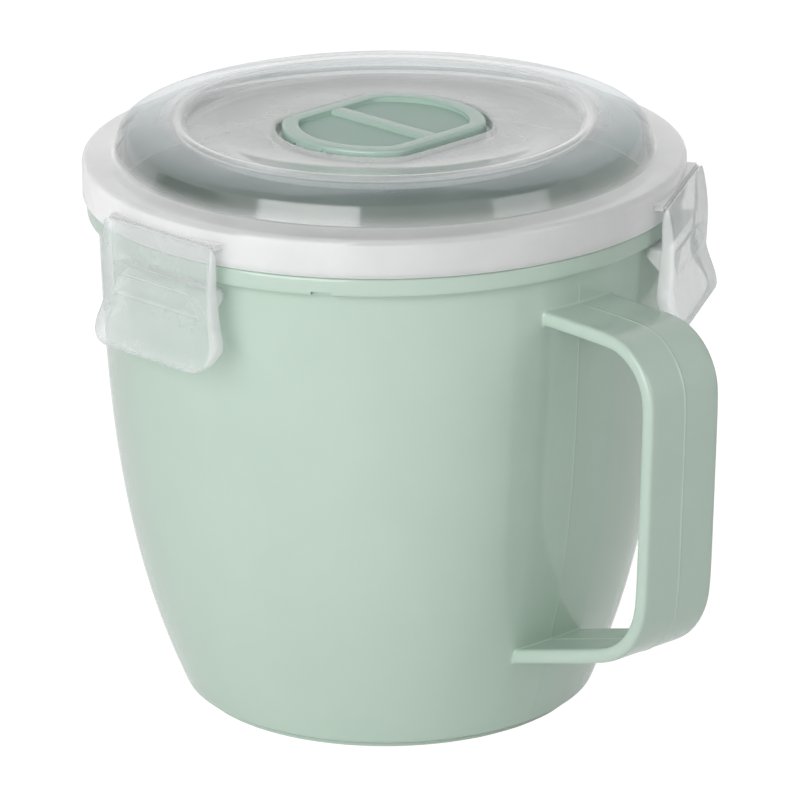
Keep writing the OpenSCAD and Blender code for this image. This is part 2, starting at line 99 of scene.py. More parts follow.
LOW_START = LOW_CENTRE + LOW_BEND * LOW_OUT

# Lid
LID_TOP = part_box("lid_shell")[1].z
LID_R = 62.5 * MM
SKIRT_IN = 61.2 * MM
SKIRT_Z = 108.7 * MM
FLANGE_UNDER = 115.2 * MM
FLANGE_Z = 116.55 * MM
PLUG_R = 56.5 * MM
PLUG_IN = 55.2 * MM
PLUG_Z = 107.5 * MM
LID_T = 1.3 * MM
SKIRT_MID = (SKIRT_IN + LID_R) / 2
BEAD_R = 44 * MM
BEAD_W = 1.2 * MM
DOME_R = 54 * MM
PANEL_Z = LID_TOP - 2.4 * MM
PANEL_STEP = 0.1 * MM
LID_SIDES = 192
SEAL_LOW, SEAL_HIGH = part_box("lid_seal")
SEAL_IN = 56.55 * MM

# Vent in the middle of the lid; u runs along it from its hinge end, v across it
VENT_TURN = math.radians(93.5)
WELL_R = 22.2 * MM
WELL_HALF = 18.3 * MM
WELL_Z = PANEL_Z - 2.4 * MM
WELL_T = 1.2 * MM
WELL_CORNER = 40
TUBE_R = 5 * MM
TUBE_IN = 3.8 * MM
TUBE_Z = 108.3 * MM
FLAP_R = 21.1 * MM
FLAP_Z = 119.8 * MM
FLAP_TOP = PANEL_Z + 0.7 * MM
FLAP_RIM = 3.4 * MM
FLAP_EDGE = 0.7 * MM
POCKET_FLOOR = 121.5 * MM
BAR_W = 3.6 * MM
BAR_TOP = 122.45 * MM
BAR_ROUND = 0.7 * MM
AXIS_U = -20.4 * MM
AXIS_Z = FLAP_Z + 1.1 * MM
BARREL_R = 1.05 * MM
BARREL_HALF = 3.3 * MM
PIN_R = 0.7 * MM
PIN_L = 1.2 * MM
PIN_ROOM = 0.05 * MM
LUG_R = 1.1 * MM
LUG_RISE = 0.1 * MM
LUG_DROP = 0.5 * MM
LUG_IN = 3.6 * MM
LUG_OUT = 5.4 * MM
LUG_ROOM = 0.2 * MM
STUB_R = 1.8 * MM
STUB_L = 2.2 * MM
STOPPER_R = 3.4 * MM
STOPPER_D = 3.4 * MM

# Clips, by distance from the mug's axis, place along the hinge, and height
CLIP_TURNS = {"front": -86.5, "side": 33.5, "back": 153.5}
CLIP_HALF = 16 * MM
SHELF_D = 62.6 * MM
SHELF_HALF = 15.5 * MM
SHELF_Z = 112.4 * MM
SHELF_H = 1.1 * MM
SHELF_STEPS = 19
CLIP_D = 63.2 * MM
WEB_TOP = 113.3 * MM
WEB_T = 0.5 * MM
WEB_HALF = 15 * MM
WEB_GAP = 0.02 * MM
WEB_DIP = 0.12 * MM
WEB_STEPS = 8
POCKET_HALF = 10.25 * MM
POCKET_TOP = 102.6 * MM
POCKET_H = 4.6 * MM
POCKET_LEAN = 0.5
HOOK_TIP_R = 60.3 * MM
RIB_T = 1.3 * MM
RIB_LEAN = 0.2 * MM
CLIP_SHARP = 75
# Mark for the clips' faces seen edge on: partly more plastic in view, partly painted highlight
EDGE_AND_HIGHLIGHT_MARK = "edge"


# Modelling helpers

def deselect():
    """Leaves edit mode and drops the selection, so that an operator meets only the piece in hand"""
    if bpy.context.object and bpy.context.object.mode != "OBJECT":
        bpy.ops.object.mode_set(mode="OBJECT")
    bpy.ops.object.select_all(action="DESELECT")


def pick(piece, kind, wanted):
    """Selects the vertices, edges or faces that pass a test on their middle and themselves"""
    bpy.ops.mesh.select_mode(type=kind)
    bpy.ops.mesh.select_all(action="DESELECT")
    cage = bmesh.from_edit_mesh(piece.data)
    for part in {"VERT": cage.verts, "EDGE": cage.edges, "FACE": cage.faces}[kind]:
        corners = [part] if kind == "VERT" else part.verts
        middle = sum((corner.co for corner in corners), Vector()) / len(corners)
        if wanted(middle, part):
            part.select_set(True)
    cage.select_flush_mode()
    bmesh.update_edit_mesh(piece.data)


def place_ring(piece, before, ring):
    """Sets the selected ring of vertices, which lies where before says, in its own place"""
    cage = bmesh.from_edit_mesh(piece.data)
    place = {tuple(old): new for old, new in zip(before, ring)}
    for vertex in cage.verts:
        if vertex.select:
            vertex.co = place[tuple(vertex.co)]
    bmesh.update_edit_mesh(piece.data)


def pick_ring(piece, *rings):
    """Selects the vertices of rings"""
    spots = {tuple(point) for ring in rings for point in ring}
    pick(piece, "VERT", lambda at, vertex: tuple(vertex.co) in spots)


def loft(name, rings, closed=False):
    """Draws a skin ring by ring, each extruded from the last, and closes its ends or joins them"""
    deselect()
    bpy.ops.mesh.primitive_circle_add(vertices=len(rings[0]), radius=1)
    piece = bpy.context.object
    piece.name = name
    bpy.ops.object.mode_set(mode="EDIT")
    bpy.ops.mesh.select_mode(type="EDGE")
    before = [vertex.co.copy() for vertex in bmesh.from_edit_mesh(piece.data).verts]
    for number, ring in enumerate(rings):
        if number:
            bpy.ops.mesh.extrude_edges_move()
        place_ring(piece, before, ring)
        before = ring
    if closed:
        pick_ring(piece, rings[0], rings[-1])
        bpy.ops.mesh.select_mode(type="EDGE")
        bpy.ops.mesh.bridge_edge_loops()
    else:
        for ring in (rings[0], rings[-1]):
            pick_ring(piece, ring)
            bpy.ops.mesh.edge_face_add()
    bpy.ops.mesh.select_all(action="SELECT")
    bpy.ops.mesh.normals_make_consistent(inside=False)
    return piece


def rounded(corners, steps=3):
    """Points of an outline through corners of radius, height and rounding"""
    points = []
    for number, (radius, height, rounding) in enumerate(corners):
        here = Vector((radius, height))
        if not rounding:
            points.append(here)
            continue
        back = (Vector(corners[number - 1][:2]) - here).normalized()
        ahead = (Vector(corners[number + 1][:2]) - here).normalized()
        half = back.angle(ahead) / 2
        centre = here + (back + ahead).normalized() * rounding / math.sin(half)
        first = here + back * rounding / math.tan(half) - centre
        turn = first.angle_signed(here + ahead * rounding / math.tan(half) - centre)
        for step in range(steps + 1):
            angle = -turn * step / steps
            points.append(centre + Matrix.Rotation(angle, 2) @ first)
    return points


def extrude(value):
    """Extrudes the selected faces by a vector"""
    bpy.ops.mesh.extrude_region_move(TRANSFORM_OT_translate={"value": tuple(value)})


def apply_modifier(piece, kind, **settings):
    deselect()
    piece.select_set(True)
    bpy.context.view_layer.objects.active = piece
    modifier = piece.modifiers.new(kind.title(), kind)
    for name, value in settings.items():
        setattr(modifier, name, value)
    bpy.ops.object.modifier_apply(modifier=modifier.name)


def carve(piece, tool, operation):
    """Joins a tool shape to the piece, or cuts it out, and takes the tool away"""
    apply_modifier(piece, "BOOLEAN", object=tool, operation=operation, solver="EXACT")
    bpy.data.objects.remove(tool)


def turn_mesh(piece, angle):
    """Turns a piece about the mug's axis, in its mesh"""
    deselect()
    piece.data.transform(Matrix.Rotation(angle, 4, "Z"))


def hand_over(piece, node, body, material, sharp=35):
    """Shades a finished piece, gives it its finish and its body, and hides the part it stands for"""
    deselect()
    piece.select_set(True)
    bpy.context.view_layer.objects.active = piece
    bpy.ops.object.shade_smooth_by_angle(angle=math.radians(sharp))
    piece.data.materials.clear()
    piece.data.materials.append(material)
    if body:
        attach(piece, body)
    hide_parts(node)


# Mug

HANDLE_LANES = [0, PARTING_HALF, 0.6 * MM, 4.5 * MM, 8.3 * MM, STRAP_W / 2, STRAP_W / 2 + ROOT_FILLET]
HANDLE_LANES = [-lane for lane in reversed(HANDLE_LANES[1:])] + HANDLE_LANES


def wall_radius(height):
    tuck = 1 - height / LIP_Z
    return WALL_R - WALL_DRAFT * tuck - WALL_TUCK * tuck ** TUCK_POWER


def low_root(side):
    """Height where the low arm's upper (1) or lower (-1) face meets the wall"""
    height = LOW_START.z
    for _ in range(20):
        run = wall_radius(height) - LOW_START.x
        height = LOW_START.z + run * math.tan(LOW_RISE) + side * STRAP_T / 2 / math.cos(LOW_RISE)
    return height


def mug_ring(radius, height, parting=0, slope=0):
    """One ring of the mug's cage, with straight lanes where the handle grows from the wall"""
    edge = math.asin(HANDLE_LANES[-1] / radius)
    step = (TAU - 2 * edge) / WALL_STEPS
    full = radius * (1 + (1 - math.cos(step)) / 3)
    ring = []
    for lane in HANDLE_LANES:
        reach = math.sqrt(full ** 2 - lane ** 2)
        proud = parting if lane == 0 else 0
        ring.append(Vector((reach + proud, lane, height - (full - reach) * slope)))
    for number in range(1, WALL_STEPS):
        angle = edge + step * number
        ring.append(Vector((full * math.cos(angle), full * math.sin(angle), height)))
    return ring


def mug_rings():
    """The cage from the foot up the outside, over the rim and down the inside"""
    slope = math.tan(LOW_RISE)
    roots = [low_root(-1) - ROOT_FILLET, low_root(-1), low_root(1), low_root(1) + ROOT_FILLET]
    low = [height * MM for height in (7, 10.5, 13.5, 16.5)]
    high = [height * MM for height in (28, 33, 39, 46, 53, 60, 67, 74, 81, 87, 91.5)]
    high += [HANDLE_Z - STRAP_T - ROOT_FILLET, HANDLE_Z - STRAP_T, HANDLE_Z, HANDLE_Z + ROOT_FILLET]
    high += [101 * MM]
    foot = [
        (FOOT_R / 2, 0, 0), (FOOT_R, 0, 0.35 * MM), (FOOT_R, FOOT_H, 0.2 * MM),
        (wall_radius(WALL_Z), WALL_Z, 0.8 * MM), (wall_radius(4.4 * MM), 4.4 * MM, 0),
    ]
    rim_start = BAND_Z - 1.2 * MM
    rim_end = LIP_Z - 3 * MM
    rim = [
        (wall_radius(rim_start), rim_start, 0), (wall_radius(BAND_Z), BAND_Z, 0.4 * MM),
        (BAND_R, BAND_Z, RIM_ROUND), (BAND_R, BAND_TOP, RIM_ROUND), (LIP_R, BAND_TOP, 0.25 * MM),
        (LIP_R, LIP_Z, RIM_ROUND), (WALL_R - WALL_T, LIP_Z, RIM_ROUND),
        (wall_radius(rim_end) - WALL_T, rim_end, 0),
    ]
    inside = [height * MM for height in (98, 88, 77, 66, 55, 44, 33, 23)]
    bend = FLOOR_Z + 2 * INNER_ROUND
    well = [
        (wall_radius(bend) - WALL_T, bend, 0), (wall_radius(6 * MM) - WALL_T, FLOOR_Z, INNER_ROUND),
        (FOOT_R / 2, FLOOR_Z, 0),
    ]
    rings = [mug_ring(*point) for point in rounded(foot, 2)]
    rings += [mug_ring(wall_radius(height), height, PARTING / 2) for height in low]
    rings += [mug_ring(wall_radius(height), height, PARTING / 2, slope) for height in roots]
    rings += [mug_ring(wall_radius(height), height, PARTING / 2) for height in high]
    rings += [mug_ring(*point) for point in rounded(rim, 2)]
    rings += [mug_ring(wall_radius(height) - WALL_T, height) for height in inside]
    rings += [mug_ring(*point) for point in rounded(well, 3)]
    return rings


def on_wall(at, face, low, high):
    """Whether a face of the outer wall lies on a handle root between two heights"""
    return abs(at.y) < STRAP_W / 2 and face.normal.x > 0.5 and low < at.z < high and at.x > WALL_R / 2


def grow_handle(mug):
    """Draws the strap out of the wall, round its two bends and back into the wall"""
    pick(mug, "FACE", lambda at, face: on_wall(at, face, HANDLE_Z - STRAP_T, HANDLE_Z))
    extrude((ROOT_FILLET, 0, 0))
    extrude((STRAP_START - WALL_R, 0, 0))
    bpy.ops.transform.resize(value=(0, 1, 1), center_override=(STRAP_START, 0, 0))
    for height, rise in ((HANDLE_Z, PARTING), (HANDLE_Z - STRAP_T, -PARTING)):
        spot = Vector((STRAP_START, 0, height))
        pick(mug, "VERT", lambda at, vertex: (at - spot).length < PARTING_HALF / 2)
        bpy.ops.transform.translate(value=(0, 0, rise))
    pick(mug, "FACE", lambda at, face: abs(at.x - STRAP_START) < PARTING and abs(face.normal.x) > 0.9)
    extrude((TOP_CENTRE.x - STRAP_START, 0, 0))
    bpy.ops.mesh.spin(steps=6, angle=TAU / 4 + GRIP_LEAN, center=TOP_CENTRE, axis=(0, -1, 0))
    for _ in range(3):
        extrude(GRIP_DOWN * GRIP_L / 3)
    bpy.ops.mesh.spin(steps=5, angle=TAU / 4 - GRIP_LEAN - LOW_RISE, center=LOW_CENTRE, axis=(0, -1, 0))
    run = (LOW_START.x - wall_radius(low_root(0))) / math.cos(LOW_RISE) - 3 * ROOT_FILLET
    for _ in range(2):
        extrude(LOW_IN * run / 2)
    strap_end = LOW_START + LOW_IN * run
    pick(mug, "FACE", lambda at, face: on_wall(at, face, low_root(-1), low_root(1)))
    extrude(-LOW_IN * ROOT_FILLET)

    def is_end(at, face):
        off = at - strap_end
        inside = abs(off.dot(LOW_OUT)) < STRAP_T / 2 and abs(at.y) < STRAP_W / 2
        return inside and abs(off.dot(LOW_IN)) < 4.5 * ROOT_FILLET and abs(face.normal.dot(LOW_IN)) > 0.7

    pick(mug, "FACE", is_end)
    bpy.ops.mesh.bridge_edge_loops()


def make_mug():
    """Mug with its handle, and the notch under its rim band"""
    mug = loft("mug", mug_rings())
    grow_handle(mug)
    bpy.ops.mesh.select_all(action="SELECT")
    bpy.ops.mesh.normals_make_consistent(inside=False)
    apply_modifier(mug, "SUBSURF", levels=2, render_levels=2)
    bpy.ops.mesh.primitive_cube_add(size=1)
    notch = bpy.context.object
    notch.data.transform(Matrix.Diagonal((4 * RIM_ROUND, NOTCH_W, 2 * NOTCH_H, 1)))
    notch.rotation_euler.z = NOTCH_TURN
    notch.location = (BAND_R * math.cos(NOTCH_TURN), BAND_R * math.sin(NOTCH_TURN), BAND_Z)
    bpy.context.view_layer.update()
    carve(mug, notch, "DIFFERENCE")
    return mug


# Lid and seal

def lid_ring(radius, height, flat_sides=False, sides=LID_SIDES):
    """One ring of the lid, round or with the vent's two flat sides"""
    ring = []
    for number in range(sides):
        turn = TAU * number / sides
        reach = radius
        if flat_sides:
            flat = (radius - WELL_R + WELL_HALF) / max(abs(math.sin(turn)), 0.01)
            reach = (radius ** -WELL_CORNER + flat ** -WELL_CORNER) ** (-1 / WELL_CORNER)
        ring.append(Vector((reach * math.cos(turn + VENT_TURN), reach * math.sin(turn + VENT_TURN), height)))
    return ring


def in_mm(corners):
    return [tuple(value * MM for value in corner) for corner in corners]


DOME_OVER = in_mm([
    # radius, height and rounding, from the dome's foot over the bead
    (56.2, 117.3, 0.5), (54.5, 122.25, 1.8), (46.6, 123.45, 2.5), (44, 124.33, 1.3), (42.1, 124, 1.1),
])
DOME_UNDER = in_mm([
    (42.6, 122.8, 0.8), (44.2, 123, 1), (47, 122.15, 1.5), (53, 121, 1), (54.45, 117, 0.5),
])


def lid_rings():
    """The lid's skin: skirt, flange, dome, bead, panel, well and tube, then back under it all"""
    sunk, under, well_under = PANEL_Z - PANEL_STEP, PANEL_Z - LID_T, WELL_Z - WELL_T
    small, middling, large = 0.3 * MM, 0.4 * MM, 0.5 * MM
    top = [
        (SKIRT_MID, SKIRT_Z, 0), (LID_R, SKIRT_Z, small), (LID_R, FLANGE_Z, 1.2 * MM), *DOME_OVER,
        (40.7 * MM, PANEL_Z, large), (35.2 * MM, PANEL_Z, 0), (35 * MM, sunk, 0), (26 * MM, sunk, 0),
    ]
    well_wall = [
        (WELL_R + 1.4 * MM, sunk, 0), (WELL_R, sunk, 0.8 * MM), (WELL_R, WELL_Z, middling),
        (20 * MM, WELL_Z, 0),
    ]
    tube = [
        (12 * MM, WELL_Z, 0), (TUBE_IN, WELL_Z, small), (TUBE_IN, TUBE_Z, small), (TUBE_R, TUBE_Z, small),
        (TUBE_R, well_under, large), (12 * MM, well_under, 0),
    ]
    well_back = [
        (20.5 * MM, well_under, 0), (WELL_R + WELL_T, well_under, large), (WELL_R + WELL_T, under, small),
        (25 * MM, under, 0),
    ]
    bottom = [
        (27.5 * MM, under, 0), (41.5 * MM, under, large), *DOME_UNDER, (PLUG_IN, FLANGE_UNDER + MM, middling),
        (PLUG_IN, PLUG_Z, middling), (PLUG_R, PLUG_Z, middling), (PLUG_R, FLANGE_UNDER, middling),
        (SKIRT_IN, FLANGE_UNDER, middling), (SKIRT_IN, SKIRT_Z, small), (SKIRT_MID - 0.25 * MM, SKIRT_Z, 0),
    ]
    parts = ((top, False), (well_wall, True), (tube, False), (well_back, True), (bottom, False))
    return [lid_ring(*point, flat) for corners, flat in parts for point in rounded(corners)]


def hinge_shelf(turn):
    """Straight shelf on the skirt that gives a clip's hinge a straight line"""
    rings = []
    for number in range(SHELF_STEPS + 1):
        along = SHELF_HALF * (2 * number / SHELF_STEPS - 1)
        start = math.sqrt(SKIRT_MID ** 2 - along ** 2)
        rings.append([
            Vector((start, along, SHELF_Z)), Vector((SHELF_D, along, SHELF_Z)),
            Vector((SHELF_D, along, SHELF_Z + SHELF_H)), Vector((start, along, SHELF_Z + SHELF_H)),
        ])
    shelf = loft("shelf", rings)
    turn_mesh(shelf, turn)
    return shelf


def across_vent(name, outline, start, end):
    """A solid with an outline of u and height, running across the vent from start to end"""
    rings = [[Vector((u, v, height)) for u, height in outline] for v in (start, end)]
    solid = loft(name, rings)
    turn_mesh(solid, VENT_TURN)
    return solid


def round_bar(name, radius, start, end, sides=32):
    """A round bar on the vent's hinge axis"""
    turns = [TAU * number / sides for number in range(sides)]
    outline = [(AXIS_U + radius * math.cos(turn), AXIS_Z + radius * math.sin(turn)) for turn in turns]
    return across_vent(name, outline, start, end)


def vent_lug(side):
    """Cup that a pin of the flap snaps into from above, lower behind, where the flap's end swings down"""
    base = WELL_Z - WELL_T / 2
    front, back = AXIS_U + LUG_R, AXIS_U - LUG_R
    outline = [(back, base), (front, base), (front, AXIS_Z + LUG_RISE), (back, AXIS_Z - LUG_DROP)]
    return across_vent("lug", outline, side * LUG_IN, side * LUG_OUT)


def make_lid():
    """Lid with a shelf for each clip's hinge and two cups for the flap's pins"""
    lid = loft("lid", lid_rings(), closed=True)
    for turn in CLIP_TURNS.values():
        carve(lid, hinge_shelf(math.radians(turn)), "UNION")
    for side in (-1, 1):
        carve(lid, vent_lug(side), "UNION")
    carve(lid, round_bar("pin hole", PIN_R + PIN_ROOM, -LUG_OUT - MM, LUG_OUT + MM), "DIFFERENCE")
    return lid


def make_seal():
    """White ring under the flange, with a groove between two sealing edges and a hem round the lip"""
    inner, outer = SEAL_IN, SEAL_HIGH.x
    middle = (inner + outer) / 2
    low, high = SEAL_LOW.z, SEAL_HIGH.z
    groove, edge = 1 * MM, 0.3 * MM
    hem = LIP_R + 0.15 * MM
    corners = [
        (inner, (low + high) / 2, 0), (inner, low, edge), (middle - groove, low, edge),
        (middle, low + groove, edge), (middle + groove, low, edge), (hem, low, 0.1 * MM),
        (hem, SKIRT_Z + edge, 0.1 * MM), (outer, SKIRT_Z + edge, 0.1 * MM),
        (outer, high, edge), (inner, high, edge), (inner, (low + high) / 2 + edge, 0),
    ]
    return loft("seal", [lid_ring(*point, sides=128) for point in rounded(corners)], closed=True)


# Clips

CLIP_ROWS = in_mm([
    # outer distance and height, inner distance and height, distance of the end ribs, half width
    (63.5, 113.3, 63.2, 112.95, 63.2, 15.4),
    (63.85, 113.1, 63.2, 112.5, 63, 15.8),
    (64.2, 112.3, 63.2, 111.9, 62.6, 16),
    (64.6, 110.2, 63.3, 110.2, 62.3, 16),
    (64.9, 108.2, 63.45, 108.2, 62.2, 16),
    (65.1, 106.2, 63.55, 106.2, 62.2, 16),
    (65.2, 104.7, 63.6, 104.6, 62.2, 16),
    (65.25, 103.6, 63.6, 104, 62.1, 16),
    (65.25, 102.6, 63.6, 103, 62, 16),
    (65.15, 100.3, 63.6, 100.4, 61.8, 16),
    (65, 98, 63.55, 98.2, 61.5, 16),
    (64.95, 97, 63.5, 97.2, 61.4, 16),
    (64.9, 96.3, 63.45, 96.1, 61.3, 16.05),
    (64.95, 95.6, 63.5, 94.8, 61.2, 16.3),
    (65.35, 93.6, 63.75, 93.4, 61.3, 16.9),
    (65.8, 92, 64.25, 91.9, 61.9, 17.45),
    (66.4, 90.5, 64.9, 90.4, 63.1, 17.25),
    (66.95, 89.2, 65.45, 89.2, 64.4, 16.6),
    (67.35, 88.1, 65.8, 88.3, 65.4, 15.4),
    (67.45, 87.5, 65.8, 87.8, 65.7, 14),
    (67.1, 87.2, 65.9, 87.4, 65.8, 12.2),
])
POCKET_ROWS = (8, 10)
HOOK_ROWS = (7, 11)
POCKET_DEPTH = (1.9 * MM, 1.6 * MM, 0.5 * MM)
POCKET_DROP = (-0.3 * MM, 0, 0.3 * MM)
POCKET_TAPER = 0.96
HOOK_TIP = (103.8 * MM, 103.4 * MM, 102.9 * MM, 102.5 * MM, 102.1 * MM)


def pocket_half(height):
    """Half width of the finger pocket, whose ends lean apart towards its foot"""
    return POCKET_HALF + POCKET_LEAN * min(max(POCKET_TOP - height, 0), POCKET_H)


def clip_lanes(half, height):
    """Places along the hinge of a clip's lanes, from one end to the other"""
    pocket = pocket_half(height)
    side = [3 * MM, pocket - 0.8 * MM, pocket, pocket + 0.7 * MM, half - RIB_T, half]
    return [-lane for lane in reversed(side)] + side


def clip_ring(outer_d, outer_z, inner_d, inner_z, rib_d, half):
    """One ring of a clip: its outer face, and its inner face between the two end ribs"""
    lanes = clip_lanes(half, outer_z)
    outer = [Vector((outer_d, lane, outer_z)) for lane in lanes]
    foot = half - RIB_T - RIB_LEAN
    inner = [(rib_d, half), (rib_d, half - RIB_T)]
    inner += [(inner_d, lane) for lane in [foot, *reversed(lanes[2:-2]), -foot]]
    inner += [(rib_d, RIB_T - half), (rib_d, -half)]
    return outer + [Vector((reach, lane, inner_z)) for reach, lane in inner]


def row_heights(column, rows):
    return [CLIP_ROWS[row][column] for row in range(rows[0], rows[1] + 1)]


def sink_pocket(clip):
    """Presses the finger pocket into the outer face, deepest under its upper edge"""
    heights = row_heights(1, POCKET_ROWS)
    pick(clip, "FACE", lambda at, face: abs(at.y) < pocket_half(at.z) and heights[-1] < at.z < heights[0]
         and face.normal.x > 0.7)
    extrude((0, 0, 0))
    cage = bmesh.from_edit_mesh(clip.data)
    for vertex in cage.verts:
        if vertex.select:
            row = min(range(len(heights)), key=lambda number: abs(heights[number] - vertex.co.z))
            vertex.co.x -= POCKET_DEPTH[row]
            vertex.co.y *= POCKET_TAPER
            vertex.co.z += POCKET_DROP[row]
    bmesh.update_edit_mesh(clip.data)


def draw_hook(clip):
    """Draws the hook's edge in under the rim band, along the round wall"""
    heights = row_heights(3, HOOK_ROWS)
    pick(clip, "FACE", lambda at, face: heights[-1] < at.z < heights[0] and face.normal.x < -0.7
         and abs(at.y) < CLIP_HALF - RIB_T)
    extrude((0, 0, 0))
    cage = bmesh.from_edit_mesh(clip.data)
    for vertex in cage.verts:
        if vertex.select:
            row = min(range(len(heights)), key=lambda number: abs(heights[number] - vertex.co.z))
            vertex.co.x = math.sqrt(HOOK_TIP_R ** 2 - vertex.co.y ** 2)
            vertex.co.z = HOOK_TIP[row]
    bmesh.update_edit_mesh(clip.data)


def mark_edges_and_highlights(piece):
    """Marks how far each point faces along the hinge, up or down, where the plastic is seen edge on and a
    painted highlight whitens it
    """
    mark = piece.data.attributes.new(EDGE_AND_HIGHLIGHT_MARK, "FLOAT", "POINT")
    for vertex in piece.data.vertices:
        facing = max(abs(vertex.normal.y), abs(vertex.normal.z))
        # Painted highlight: a high mark makes the finish whiter as well as cloudier
        mark.data[vertex.index].value = min(max((facing - 0.5) / 0.4, 0), 1)


def make_clip():
    """One clip on the +X side; the three are copies of it"""
    clip = loft("clip", [clip_ring(*row) for row in CLIP_ROWS])
    sink_pocket(clip)
    draw_hook(clip)
    bpy.ops.mesh.select_all(action="SELECT")
    bpy.ops.mesh.normals_make_consistent(inside=False)
    apply_modifier(clip, "SUBSURF", levels=2, render_levels=2)
    mark_edges_and_highlights(clip)
    return clip


def make_hinge():
    """One living hinge on the +X side, thinnest along its middle"""
    rings = []
    for number in range(WEB_STEPS + 1):
        run = number / WEB_STEPS
        reach = SHELF_D + WEB_GAP + (CLIP_D - SHELF_D - 2 * WEB_GAP) * run
        dip = WEB_DIP * math.sin(math.pi * run)
        low, high = WEB_TOP - WEB_T + dip / 2, WEB_TOP - dip
        rings.append([
            Vector((reach, -WEB_HALF, low)), Vector((reach, WEB_HALF, low)),
            Vector((reach, WEB_HALF, high)), Vector((reach, -WEB_HALF, high)),
        ])
    hinge = loft("hinge", rings)
    deselect()
    mark_edges_and_highlights(hinge)
    return hinge


def copy_piece(piece, name, turn):
    copy = piece.copy()
    copy.data = piece.data.copy()
    copy.name = name
    bpy.context.collection.objects.link(copy)
    turn_mesh(copy, turn)
    return copy


# Vent flap and its stopper

def flap_ring(inset, height):
    return lid_ring(FLAP_R - inset, height, True, 128)


def make_flap():
    """Rimmed flap with a bar between two pockets, a barrel with pins at one end and a stub below"""
    turns = (0, TAU / 16, TAU / 8, TAU * 3 / 16, TAU / 4)
    arc = [(FLAP_EDGE * (1 - math.cos(turn)), FLAP_TOP - FLAP_EDGE * (1 - math.sin(turn))) for turn in turns]
    rows = [(4 * MM, FLAP_Z), (0.3 * MM, FLAP_Z), (0, FLAP_Z + 0.3 * MM)] + arc
    rows += [(FLAP_RIM - 0.4 * MM, FLAP_TOP), (FLAP_RIM - 0.12 * MM, FLAP_TOP - 0.06 * MM)]
    rows += [(FLAP_RIM, BAR_TOP)]
    flap = loft("flap", [flap_ring(*row) for row in rows])
    along = Vector((math.cos(VENT_TURN), math.sin(VENT_TURN), 0))

    def on_top(at):
        return abs(at.z - BAR_TOP) < TOUCH

    for side in (-1, 1):
        pick(flap, "FACE", lambda at, face: on_top(at) and face.normal.z > 0.9)
        bpy.ops.mesh.bisect(plane_co=along * side * BAR_W / 2, plane_no=along)
    pick(flap, "FACE", lambda at, face: on_top(at) and abs(at.dot(along)) > BAR_W)
    extrude((0, 0, POCKET_FLOOR - BAR_TOP))
    pick(flap, "EDGE", lambda at, edge: on_top(at) and abs(abs(at.dot(along)) - BAR_W / 2) < 10 * TOUCH)
    bpy.ops.mesh.bevel(offset=BAR_ROUND, segments=5)
    stub = loft("stub", [lid_ring(STUB_R - inset, height, sides=32) for inset, height in (
        (0.2 * MM, FLAP_Z - STUB_L), (0, FLAP_Z - STUB_L + 0.2 * MM), (0, FLAP_Z + 0.4 * MM))])
    slot_u = AXIS_U + LUG_R + LUG_ROOM
    slot_top, slot_low = AXIS_Z + LUG_RISE + LUG_ROOM, FLAP_Z - MM
    slot = [(slot_u, slot_low), (slot_u, slot_top), (-2 * FLAP_R, slot_top), (-2 * FLAP_R, slot_low)]
    toe = [(AXIS_U + MM, slot_low), (-FLAP_R - MM, AXIS_Z), (-FLAP_R - MM, slot_low)]
    carve(flap, across_vent("toe", toe, -FLAP_R, FLAP_R), "DIFFERENCE")
    for side in (-1, 1):
        room = across_vent("slot", slot, side * (LUG_IN - LUG_ROOM), side * (LUG_OUT + LUG_ROOM))
        carve(flap, room, "DIFFERENCE")
    carve(flap, round_bar("barrel", BARREL_R, -BARREL_HALF, BARREL_HALF), "UNION")
    carve(flap, round_bar("pins", PIN_R, -BARREL_HALF - PIN_L, BARREL_HALF + PIN_L), "UNION")
    carve(flap, stub, "UNION")
    return flap


def make_stopper():
    """Soft plug on the flap's stub, with two sealing ribs round its tapered side"""
    top, low = FLAP_Z - 0.05 * MM, FLAP_Z - STOPPER_D
    waist = STOPPER_R - 0.35 * MM
    bore = STUB_R + 0.02 * MM
    corners = [
        (1 * MM, low, 0), (waist - 0.1 * MM, low, 0.5 * MM), (waist, low + 0.9 * MM, 0.2 * MM),
        (waist - 0.3 * MM, low + 1.3 * MM, 0.2 * MM), (STOPPER_R - 0.12 * MM, low + 1.9 * MM, 0.2 * MM),
        (waist - 0.1 * MM, low + 2.4 * MM, 0.2 * MM), (STOPPER_R, top, 0.25 * MM), (bore, top, 0.1 * MM),
        (bore, top - STUB_L, 0), (0.5 * MM, top - STUB_L, 0),
    ]
    return loft("stopper", [lid_ring(*point, sides=48) for point in rounded(corners)])


# Finishes

PLASTIC_IOR = 1.49
SILICONE_IOR = 1.41
LID_TINT = (0.98, 0.986, 0.986, 1)
# Painted shade: the dome's side lets less through, which darkens the mug's shaded inside seen through it
DOME_PAINTED_SHADE_TINT = (0.8, 0.86, 0.875, 1)
CLIP_TINT = (0.97, 0.985, 0.98, 1)
PANEL_HAZE = 0.11
DOME_HAZE = 0.035
BEAD_HAZE = 0.16
RIM_HAZE = 0.3
CLIP_HAZE = 0.26


